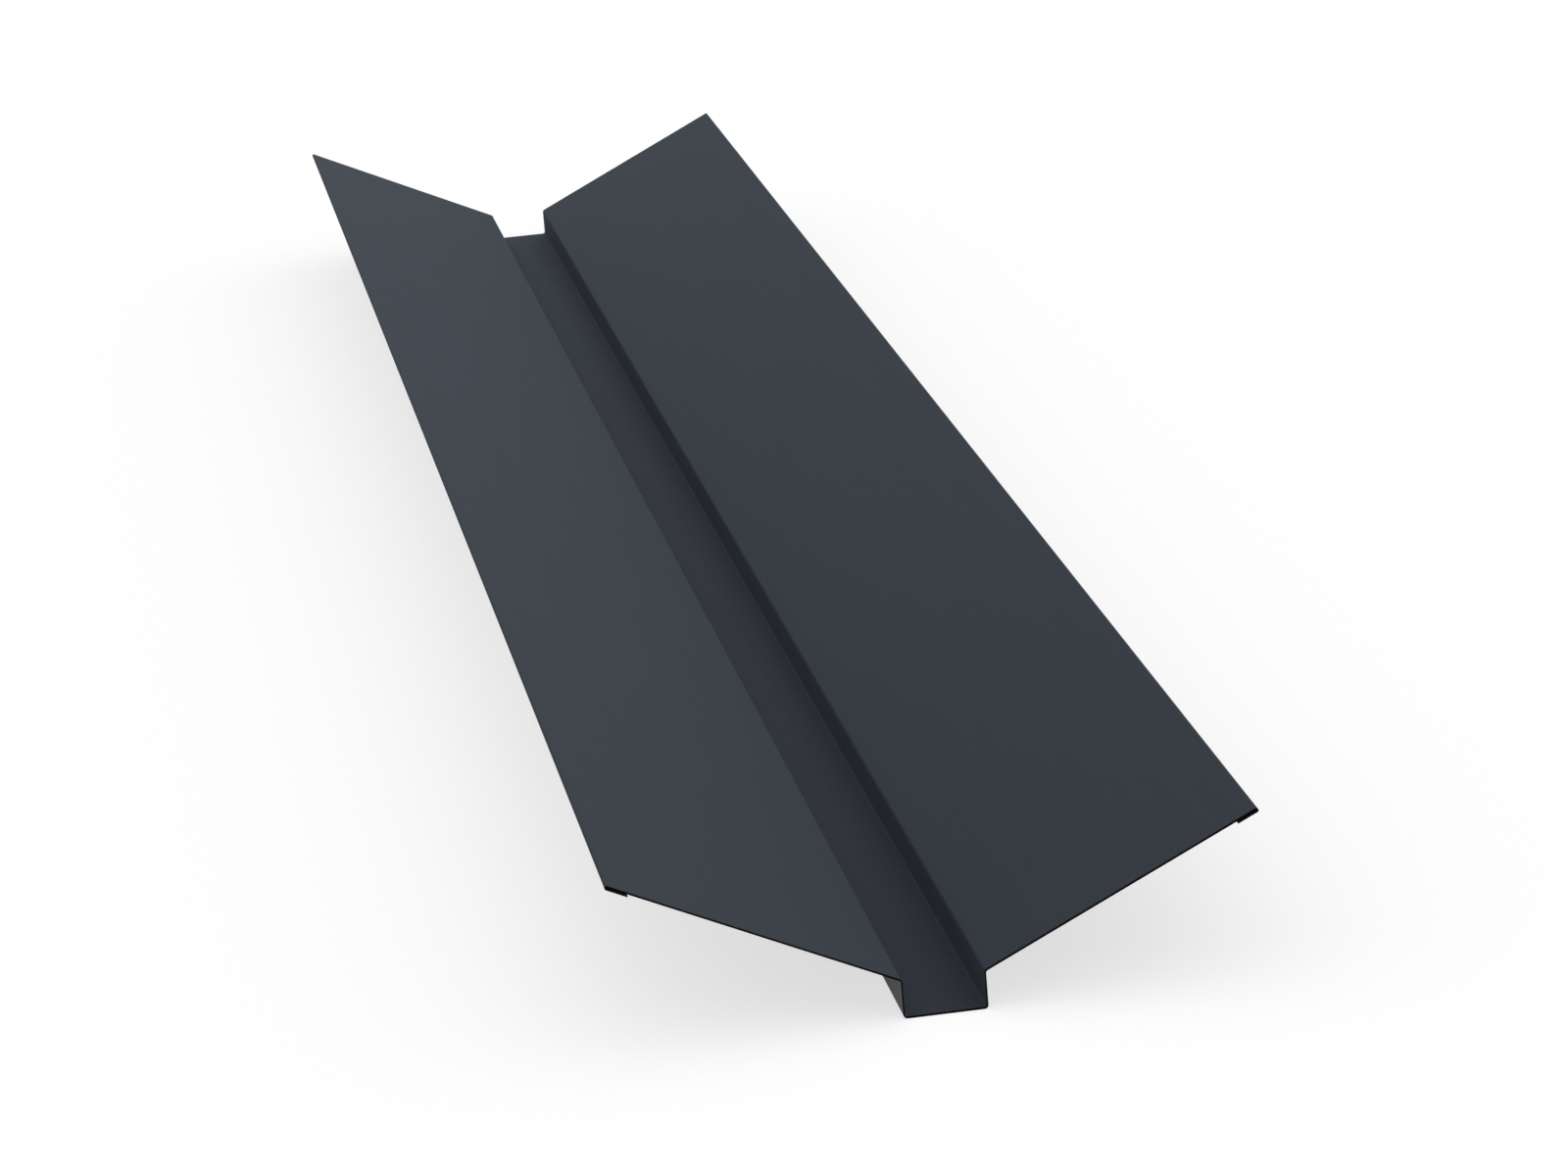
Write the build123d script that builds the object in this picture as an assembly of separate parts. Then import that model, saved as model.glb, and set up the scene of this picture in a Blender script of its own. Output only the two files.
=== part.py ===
from build123d import *
from math import cos, radians, sin
import os

# Valley flashing: one strip of coated steel, folded into a shallow V with a square water channel
# along its middle. Both outer edges are folded back under the wings as flat hems.
# Millimetres. The origin is under the channel floor at mid-length, +Y runs along the strip, +Z is up.

# Driving dimensions
length = 1500.0  # one piece, cut square at both ends
thickness = 0.5  # coated steel sheet
wing_width = 115.0  # up the slope, from the channel's edge to the hemmed edge
wing_angle = 25.2  # slope of each wing, in degrees from the channel floor
channel_width = 30.3  # clear between the channel's walls
channel_depth = 14.1  # from the floor up to the edge where a wing starts
bend_radius = 1.0  # inside radius of the folds along the channel
hem_width = 9.0  # from the hemmed edge to the end of the sheet under the wing
hem_gap = 0.5  # clear between a wing and its folded-back hem

# The skin is the upper, weather side of the sheet. Its right half runs from the middle of the
# channel floor, up the wall, along the wing and round the hem to the cut edge of the strip.
up_wing = Vector(cos(radians(wing_angle)), sin(radians(wing_angle)))
off_wing = Vector(-up_wing.Y, up_wing.X)
outer_bend_radius = bend_radius + thickness
outer_hem_radius = hem_gap / 2 + thickness

floor_middle = Vector(0, thickness)
floor_corner = Vector(channel_width / 2, thickness)
channel_edge = floor_corner + Vector(0, channel_depth)
hem_centre = channel_edge + up_wing * (wing_width - outer_hem_radius) - off_wing * outer_hem_radius
hem_top = hem_centre + off_wing * outer_hem_radius
hem_edge = hem_centre + up_wing * outer_hem_radius
hem_underside = hem_centre - off_wing * outer_hem_radius
strip_edge = hem_underside - up_wing * (hem_width - outer_hem_radius)

with BuildPart() as flashing:
    with BuildSketch(Plane.XZ):
        with BuildLine():
            FilletPolyline(
                floor_middle,
                floor_corner,
                channel_edge,
                hem_top,
                radius=(bend_radius, outer_bend_radius),
            )
            ThreePointArc(hem_top, hem_edge, hem_underside)
            Line(hem_underside, strip_edge)
            mirror(about=Plane.YZ)
            # The sheet's thickness lies under the skin all the way along the strip
            offset(amount=thickness, side=Side.RIGHT, closed=True)
        make_face()
    extrude(amount=length / 2, both=True)

os.makedirs("parts", exist_ok=True)
export_step(flashing.part, "parts/valley_flashing.step")
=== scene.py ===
import bpy
from math import cos, radians, sin, tan
from mathutils import Matrix, Vector


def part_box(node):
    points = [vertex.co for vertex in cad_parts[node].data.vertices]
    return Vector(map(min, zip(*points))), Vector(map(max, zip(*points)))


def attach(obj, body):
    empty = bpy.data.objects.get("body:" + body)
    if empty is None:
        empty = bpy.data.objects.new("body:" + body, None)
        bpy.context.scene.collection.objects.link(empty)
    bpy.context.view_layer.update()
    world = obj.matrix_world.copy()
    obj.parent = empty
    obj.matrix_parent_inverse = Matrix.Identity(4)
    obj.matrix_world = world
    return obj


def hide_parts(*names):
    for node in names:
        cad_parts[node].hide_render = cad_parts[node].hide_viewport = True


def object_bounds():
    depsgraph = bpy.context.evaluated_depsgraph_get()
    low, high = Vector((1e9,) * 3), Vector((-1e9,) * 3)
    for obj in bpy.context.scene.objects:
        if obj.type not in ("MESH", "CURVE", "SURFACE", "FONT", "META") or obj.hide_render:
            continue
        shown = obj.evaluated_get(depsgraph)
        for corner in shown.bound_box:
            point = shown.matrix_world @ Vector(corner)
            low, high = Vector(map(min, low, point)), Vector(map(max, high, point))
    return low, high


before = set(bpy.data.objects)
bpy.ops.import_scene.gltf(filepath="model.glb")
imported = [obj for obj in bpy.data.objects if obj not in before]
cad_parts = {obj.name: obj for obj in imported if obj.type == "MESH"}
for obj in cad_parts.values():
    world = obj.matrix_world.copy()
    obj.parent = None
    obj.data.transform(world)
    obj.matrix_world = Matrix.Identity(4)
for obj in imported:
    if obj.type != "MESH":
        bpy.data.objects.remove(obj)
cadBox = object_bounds()
print("frame loaded:", sorted(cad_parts))

# Folded sheet, metres. The section is walked from the middle of the channel out to the strip's edge.
sheetShape = {
    "thickness": 0.0005,
    "wingWidth": 0.115,  # channel edge to hemmed edge, up the slope
    "wingAngle": 25.2,
    "channelWidth": 0.0303,  # clear between the walls
    "channelDepth": 0.0141,
    "bendRadius": 0.001,  # inside of the folds
    "hemWidth": 0.009,
    "hemGap": 0.0005,
    "cutRound": 0.00006,  # rolled-over rim of the sheared edges
    "floorCells": 5,
    "wallCells": 4,
    "wingCells": 18,
    "hemCells": 3,
    "bendSteps": 8,
    "hemSteps": 16,
    "lengthCells": 40,
    "sharpAngle": 40.0,
}
weatherSide, reverseSide, cutSide = 0, 1, 2  # material slots of the sheet


def foldPath(shape):
    # (length, 0, cells) is a straight run, (radius, turn, steps) is a fold of the sheet's mid-line
    sheet, bend = shape["thickness"], shape["bendRadius"]
    hemOut = shape["hemGap"] / 2 + sheet
    edgeTurn = 90 - shape["wingAngle"]
    edgeTrim = (bend + sheet) * tan(radians(edgeTurn / 2))
    return [
        (shape["channelWidth"] / 2 - bend, 0, shape["floorCells"]),
        (bend + sheet / 2, 90, shape["bendSteps"]),
        (shape["channelDepth"] - bend - edgeTrim, 0, shape["wallCells"]),
        (bend + sheet / 2, -edgeTurn, shape["bendSteps"]),
        (shape["wingWidth"] - edgeTrim - hemOut, 0, shape["wingCells"]),
        (hemOut - sheet / 2, -180, shape["hemSteps"]),
        (shape["hemWidth"] - hemOut - shape["cutRound"], 0, shape["hemCells"]),
        (shape["cutRound"], 0, 1),
    ]


def halfSection(shape):
    # each station: place on the mid-line, weather-side normal, distance along the flat strip,
    # and 1 inside a fold or 0 on a flat
    place, heading, along = Vector((0, shape["thickness"] / 2)), 0.0, 0.0
    stations = [(place.copy(), Vector((0, 1)), along, 0.0)]
    for size, turn, steps in foldPath(shape):
        stepTurn = radians(turn) / steps
        chord = size / steps if turn == 0 else 2 * size * sin(abs(stepTurn) / 2)
        for step in range(steps):
            heading += stepTurn / 2
            place = place + chord * Vector((cos(heading), sin(heading)))
            heading += stepTurn / 2
            along += size / steps if turn == 0 else size * abs(stepTurn)
            fold = 0.0 if turn == 0 or step == steps - 1 else 1.0
            stations.append((place.copy(), Vector((-sin(heading), cos(heading))), along, fold))
    return stations


def wholeSection(shape):
    right = halfSection(shape)
    left = [
        (Vector((-place.x, place.y)), Vector((-normal.x, normal.y)), -along, fold)
        for place, normal, along, fold in right[:0:-1]
    ]
    return left + right


def lengthRows(shape):
    low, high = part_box("valley_flashing")
    first, last = low.y + shape["cutRound"], high.y - shape["cutRound"]
    cells = shape["lengthCells"]
    inner = [first + (last - first) * i / cells for i in range(cells + 1)]
    return [low.y] + inner + [high.y]


def sheetFaces(tall, wide):
    # two skins of quads, joined by the cut faces; the rims count as cut
    def at(row, side, column):
        return (row * 2 + side) * wide + column

    faces, finish = [], []
    for i in range(tall - 1):
        for j in range(wide - 1):
            rim = i in (0, tall - 2) or j in (0, wide - 2)
            faces.append((at(i, 0, j), at(i, 0, j + 1), at(i + 1, 0, j + 1), at(i + 1, 0, j)))
            faces.append((at(i, 1, j + 1), at(i, 1, j), at(i + 1, 1, j), at(i + 1, 1, j + 1)))
            finish += [cutSide, cutSide] if rim else [weatherSide, reverseSide]
    end, edge = tall - 1, wide - 1
    for i in range(end):
        faces.append((at(i, 1, 0), at(i, 0, 0), at(i + 1, 0, 0), at(i + 1, 1, 0)))
        faces.append((at(i, 0, edge), at(i, 1, edge), at(i + 1, 1, edge), at(i + 1, 0, edge)))
    for j in range(edge):
        faces.append((at(0, 1, j), at(0, 1, j + 1), at(0, 0, j + 1), at(0, 0, j)))
        faces.append((at(end, 0, j), at(end, 0, j + 1), at(end, 1, j + 1), at(end, 1, j)))
    finish += [cutSide] * (len(faces) - len(finish))
    return faces, finish


# Where the flat blank lies on the bake map: a band across for each side, thin ones for the cut faces
flatBands = {
    "weather": (0.01, 0.45),
    "reverse": (0.47, 0.91),
    "leftEdge": (0.925, 0.935),
    "rightEdge": (0.945, 0.955),
    "frontEnd": (0.965, 0.975),
    "backEnd": (0.985, 0.995),
    "along": (0.01, 0.99),  # every band runs this far up the map
}


def flatBand(corners):
    sides = {side for _, side, _ in corners}
    if len(sides) == 1:
        return "weather" if sides == {0} else "reverse"
    columns = {column for _, _, column in corners}
    if len(columns) == 1:
        return "leftEdge" if columns == {0} else "rightEdge"
    return "frontEnd" if corners[0][0] == 0 else "backEnd"


def layFlat(mesh, section, rows, bands):
    wide, reach = len(section), section[-1][2]
    start, stop = bands["along"]
    layer = mesh.uv_layers.new(name="OFBake")
    for face in mesh.polygons:
        corners = [(v // (2 * wide), v // wide % 2, v % wide) for v in face.vertices]
        band = flatBand(corners)
        low, high = bands[band]
        for loop, (row, side, column) in zip(face.loop_indices, corners):
            across = section[column][2] / reach / 2 + 0.5
            along = (rows[row] - rows[0]) / (rows[-1] - rows[0])
            if band in ("frontEnd", "backEnd"):
                across, along = side, across
            elif band in ("leftEdge", "rightEdge"):
                across = side
            layer.data[loop].uv = (low + (high - low) * across, start + (stop - start) * along)


def buildSheet(name, shape):
    section, rows = wholeSection(shape), lengthRows(shape)
    tall, wide = len(rows), len(section)
    points, flatPlace, strain = [], [], []
    for i, y in enumerate(rows):
        for side in (1, -1):
            for j, (place, normal, along, fold) in enumerate(section):
                rim = i in (0, tall - 1) or j in (0, wide - 1)
                half = shape["thickness"] / 2 - (shape["cutRound"] if rim else 0)
                spot = place + normal * half * side
                points.append((spot.x, y, spot.y))
                flatPlace += [along, y, side * shape["thickness"]]
                strain.append(fold)
    faces, finish = sheetFaces(tall, wide)

    mesh = bpy.data.meshes.new(name)
    mesh.from_pydata(points, [], faces)
    mesh.polygons.foreach_set("material_index", finish)
    mesh.attributes.new("flatPlace", "FLOAT_VECTOR", "POINT").data.foreach_set("vector", flatPlace)
    mesh.attributes.new("foldStrain", "FLOAT", "POINT").data.foreach_set("value", strain)
    mesh.shade_smooth()
    mesh.set_sharp_from_angle(angle=radians(shape["sharpAngle"]))
    mesh.validate()
    layFlat(mesh, section, rows, flatBands)
    sheet = bpy.data.objects.new(name, mesh)
    bpy.context.scene.collection.objects.link(sheet)
    return sheet


sheet = buildSheet("foldedSheet", sheetShape)
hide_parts("valley_flashing")
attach(sheet, "root")
print("sheet folded:", len(sheet.data.polygons), "faces")


def setInputs(tree, node, inputs):
    # a socket is linked, anything else is set as the input's own value
    for name, value in inputs.items():
        if isinstance(value, bpy.types.NodeSocket):
            tree.links.new(value, node.inputs[name])
        else:
            node.inputs[name].default_value = value


def addNode(tree, kind, inputs=None, **settings):
    node = tree.nodes.new(kind)
    for name, value in settings.items():
        setattr(node, name, value)
    setInputs(tree, node, inputs or {})
    return node


def newFinish(name):
    finish = bpy.data.materials.new(name)
    finish.use_nodes = True
    return finish, finish.node_tree, finish.node_tree.nodes["Principled BSDF"]


def mathNode(tree, operation, first, second=0.0):
    return addNode(tree, "ShaderNodeMath", {0: first, 1: second}, operation=operation).outputs[0]


def total(tree, first, *others):
    for other in others:
        first = mathNode(tree, "ADD", first, other)
    return first


def swing(tree, value, amount):
    # noise about 0.5 becomes a swing about zero
    return mathNode(tree, "MULTIPLY", mathNode(tree, "SUBTRACT", value, 0.5), amount)


def stretchedNoise(tree, place, look):
    # stretch below 1 draws the noise out along the strip
    spread = addNode(tree, "ShaderNodeMapping", {"Vector": place, "Scale": (1, look["stretch"], 1)})
    noise = addNode(tree, "ShaderNodeTexNoise", {
        "Vector": spread.outputs["Vector"],
        "Scale": look["scale"],
        "Detail": look["detail"],
    })
    return noise.outputs["Fac"]


# Baked coil paint: tone drift, faint roller streaks along the strip, fine matt grain,
# folds stretched paler, and painted shade darkening the coat next to the sheared ends
coilPaint = {
    "drift": {"scale": 7.0, "stretch": 0.3, "detail": 3},
    "streaks": {"scale": 150.0, "stretch": 0.012, "detail": 2},
    "grain": {"scale": 1500.0, "stretch": 1.0, "detail": 2},
    "grainTone": 0.10,
    "roughDrift": 0.10,
    "roughGrain": 0.16,
    "foldRough": 0.04,
    # the rim keys shape the band of painted shade along the sheared ends
    "rimWidth": 0.0014,
    "rimFade": 0.0005,
    "rimLine": {"scale": 700.0, "stretch": 0.2, "detail": 2},
    "rimUneven": 0.0005,
}


def paintedEndShade(tree, place, paint):
    # painted shade mask: 1 at the sheared ends, fading to 0 a little way in, along an uneven line
    along = addNode(tree, "ShaderNodeSeparateXYZ", {0: place}).outputs["Y"]
    inward = mathNode(tree, "SUBTRACT", cadBox[1][1], mathNode(tree, "ABSOLUTE", along))
    uneven = swing(tree, stretchedNoise(tree, place, paint["rimLine"]), paint["rimUneven"])
    fade = addNode(tree, "ShaderNodeMapRange", {
        "Value": total(tree, inward, uneven),
        "From Min": paint["rimWidth"] - paint["rimFade"],
        "From Max": paint["rimWidth"],
        "To Min": 1.0,
        "To Max": 0.0,
    })
    return fade.outputs["Result"]


def buildCoilPaint(paint):
    group = bpy.data.node_groups.new("coilPaint", "ShaderNodeTree")
    inputs = {
        "Flat Place": "NodeSocketVector",
        "Fold": "NodeSocketFloat",
        "Paint": "NodeSocketColor",
        "Drift": "NodeSocketFloat",
        "Streaks": "NodeSocketFloat",
        "Fold Pale": "NodeSocketFloat",
        "Painted Rim Shade": "NodeSocketFloat",
        "Roughness": "NodeSocketFloat",
    }
    outputs = {
        "Colour": "NodeSocketColor",
        "Roughness": "NodeSocketFloat",
        "Height": "NodeSocketFloat",
    }
    for side, sockets in (("INPUT", inputs), ("OUTPUT", outputs)):
        for name, kind in sockets.items():
            group.interface.new_socket(name, in_out=side, socket_type=kind)
    given = addNode(group, "NodeGroupInput").outputs
    drift = stretchedNoise(group, given["Flat Place"], paint["drift"])
    streaks = stretchedNoise(group, given["Flat Place"], paint["streaks"])
    grain = stretchedNoise(group, given["Flat Place"], paint["grain"])
    # painted shade: the coat's tone is darkened next to the sheared ends
    rim = paintedEndShade(group, given["Flat Place"], paint)
    rimShade = mathNode(group, "MULTIPLY", rim, given["Painted Rim Shade"])
    tone = total(
        group,
        swing(group, drift, given["Drift"]),
        swing(group, streaks, given["Streaks"]),
        swing(group, grain, paint["grainTone"]),
        mathNode(group, "MULTIPLY", given["Fold"], given["Fold Pale"]),
        mathNode(group, "SUBTRACT", 1.0, rimShade),
    )
    colour = addNode(group, "ShaderNodeHueSaturation", {"Value": tone, "Color": given["Paint"]})
    rough = total(
        group,
        given["Roughness"],
        swing(group, drift, paint["roughDrift"]),
        swing(group, grain, paint["roughGrain"]),
        mathNode(group, "MULTIPLY", given["Fold"], paint["foldRough"]),
    )
    addNode(group, "NodeGroupOutput", {
        "Colour": colour.outputs["Color"],
        "Roughness": rough,
        "Height": grain,
    })
    return group


weatherCoat = {
    "paint": (0.0367, 0.0438, 0.0545, 1),
    "drift": 0.14,
    "streaks": 0.06,
    "foldPale": 0.03,
    # painted shade darkening the weather coat next to the sheared ends
    "paintedRimShade": 0.97,
    "roughness": 0.86,
    "specular": 0.05,
    "grainHeight": 0.000012,
}
reverseCoat = {
    "paint": (0.148, 0.148, 0.160, 1),
    "drift": 0.16,
    "streaks": 0.12,
    "foldPale": 0.04,
    # painted shade darkening the reverse coat next to the sheared ends
    "paintedRimShade": 0.60,
    "roughness": 0.80,
    "specular": 0.10,
    "grainHeight": 0.000020,
}


def coatFinish(name, look, paintGroup):
    finish, tree, shader = newFinish(name)
    coat = addNode(tree, "ShaderNodeGroup", {
        "Flat Place": addNode(tree, "ShaderNodeAttribute", attribute_name="flatPlace").outputs["Vector"],
        "Fold": addNode(tree, "ShaderNodeAttribute", attribute_name="foldStrain").outputs["Fac"],
        "Paint": look["paint"],
        "Drift": look["drift"],
        "Streaks": look["streaks"],
        "Fold Pale": look["foldPale"],
        "Painted Rim Shade": look["paintedRimShade"],
        "Roughness": look["roughness"],
    }, node_tree=paintGroup).outputs
    grain = addNode(tree, "ShaderNodeBump", {"Height": coat["Height"], "Distance": look["grainHeight"]})
    setInputs(tree, shader, {
        "Base Color": coat["Colour"],
        "Roughness": coat["Roughness"],
        "Specular IOR Level": look["specular"],
        "Normal": grain.outputs["Normal"],
    })
    return finish


cutEdge = {
    "shear": {"scale": 900.0, "stretch": 1.0, "detail": 3},
    # both shear colours are near black: painted shade on the cut faces
    "shearDark": (0.0008, 0.0008, 0.0010, 1),
    "shearPale": (0.0030, 0.0030, 0.0034, 1),
    "roughLow": 0.55,
    "roughHigh": 0.85,
    "specular": 0.01,
}


def cutFinish(name, look):
    # sheared edge coloured near black as painted shade for the unlit cut face, with fine uneven shear
    # marks across the thickness
    finish, tree, shader = newFinish(name)
    place = addNode(tree, "ShaderNodeTexCoord").outputs["Object"]
    shear = stretchedNoise(tree, place, look["shear"])
    tone = addNode(tree, "ShaderNodeValToRGB", {"Fac": shear})
    tone.color_ramp.elements[0].color = look["shearDark"]
    tone.color_ramp.elements[1].color = look["shearPale"]
    rough = addNode(tree, "ShaderNodeMapRange", {
        "Value": shear,
        "To Min": look["roughLow"],
        "To Max": look["roughHigh"],
    })
    setInputs(tree, shader, {
        "Base Color": tone.outputs["Color"],
        "Roughness": rough.outputs["Result"],
        "Specular IOR Level": look["specular"],
    })
    return finish


paintGroup = buildCoilPaint(coilPaint)
for finish in (
    coatFinish("weatherCoat", weatherCoat, paintGroup),
    coatFinish("reverseCoat", reverseCoat, paintGroup),
    cutFinish("cutEdge", cutEdge),
):
    sheet.data.materials.append(finish)  # in the order of the sheet's slots
print("coats and cut edges finished")

# Studio: pale floor, white surroundings, soft boxes along both sides and behind
studio = {
    "floorSize": 16.0,
    "floorGap": 0.0001,
    "floorColour": (0.6, 0.6, 0.6, 1),
    "floorRoughness": 0.9,
    "floorSpecular": 0.0,
    "floorLift": 0.655,  # shows the lit floor as white and keeps the shadow
    "white": (1, 1, 1, 1),
    "skyLight": 0.582,  # on the object; the sky itself shows white
}
softBoxes = {
    "rightBox": {"place": (2.898, 0, 0.776), "size": (0.8, 4.0), "power": 82},
    "leftBox": {"place": (-2.971, 0, 0.4175), "size": (0.8, 4.0), "power": 32},
    "backBox": {"place": (0, 4.347, 1.165), "size": (3.0, 0.8), "power": 257},
}


def seenDirectly(tree):
    # 1 for what the camera and reflections see, 0 for the light on the object
    path = addNode(tree, "ShaderNodeLightPath").outputs
    seen = path["Is Camera Ray"]
    for ray in ("Is Glossy Ray", "Is Transmission Ray"):
        seen = mathNode(tree, "MAXIMUM", seen, path[ray])
    return seen


def buildFloor(setup):
    half = setup["floorSize"] / 2
    corners = [(-half, -half, 0), (half, -half, 0), (half, half, 0), (-half, half, 0)]
    mesh = bpy.data.meshes.new("studioFloor")
    mesh.from_pydata(corners, [], [(0, 1, 2, 3)])
    floor = bpy.data.objects.new("studioFloor", mesh)
    floor.location.z = cadBox[0][2] - setup["floorGap"]
    bpy.context.scene.collection.objects.link(floor)
    paint, tree, shader = newFinish("floorPaint")
    setInputs(tree, shader, {
        "Base Color": setup["floorColour"],
        "Roughness": setup["floorRoughness"],
        "Specular IOR Level": setup["floorSpecular"],
        "Emission Color": setup["white"],
        "Emission Strength": mathNode(tree, "MULTIPLY", seenDirectly(tree), setup["floorLift"]),
    })
    mesh.materials.append(paint)


def buildSky(setup):
    world = bpy.data.worlds.new("studioSky")
    world.use_nodes = True
    bpy.context.scene.world = world
    tree = world.node_tree
    strength = addNode(tree, "ShaderNodeMapRange", {
        "Value": seenDirectly(tree),
        "To Min": setup["skyLight"],
        "To Max": 1.0,
    })
    setInputs(tree, tree.nodes["Background"], {
        "Color": setup["white"],
        "Strength": strength.outputs["Result"],
    })


def buildSoftBoxes(boxes, subject):
    lit = bpy.data.collections.new("litByBoxes")  # the boxes are flagged off the floor, which stays even
    lit.objects.link(subject)
    for name, box in boxes.items():
        lamp = bpy.data.lights.new(name, "AREA")
        lamp.shape = "RECTANGLE"
        lamp.size, lamp.size_y = box["size"]
        lamp.energy = box["power"]
        lampObject = bpy.data.objects.new(name, lamp)
        lampObject.light_linking.receiver_collection = lit
        lampObject.visible_glossy = False  # reflections show the white surroundings instead
        bpy.context.scene.collection.objects.link(lampObject)
        place = Vector(box["place"])
        facing = place.to_track_quat("Z", "Y").to_matrix().to_4x4()
        lampObject.matrix_world = Matrix.Translation(place) @ facing


buildFloor(studio)
buildSky(studio)
buildSoftBoxes(softBoxes, sheet)
print("studio set")

# Camera: long lens, low, a little left of the channel
cameraView = {
    "aimAt": (0.00778, -0.320, 0.05021),
    "distance": 2.5587,
    "azimuth": -7.182,
    "elevation": 14.900,
    "roll": -4.675,
    "lens": 136.85,
    "sensor": 36,
    "reach": 60,
}


def buildCamera(view):
    lens = bpy.data.cameras.new("photoCamera")
    lens.lens = view["lens"]
    lens.sensor_fit = "HORIZONTAL"
    lens.sensor_width = view["sensor"]
    lens.clip_end = view["reach"]
    camera = bpy.data.objects.new("photoCamera", lens)
    bpy.context.scene.collection.objects.link(camera)
    around, up = radians(view["azimuth"]), radians(view["elevation"])
    back = Vector((sin(around) * cos(up), -cos(around) * cos(up), sin(up)))
    turn = back.to_track_quat("Z", "Y").to_matrix() @ Matrix.Rotation(radians(view["roll"]), 3, "Z")
    place = Vector(view["aimAt"]) + back * view["distance"]
    camera.matrix_world = Matrix.Translation(place) @ turn.to_4x4()
    bpy.context.scene.camera = camera


buildCamera(cameraView)
bpy.context.scene.view_settings.view_transform = "Standard"
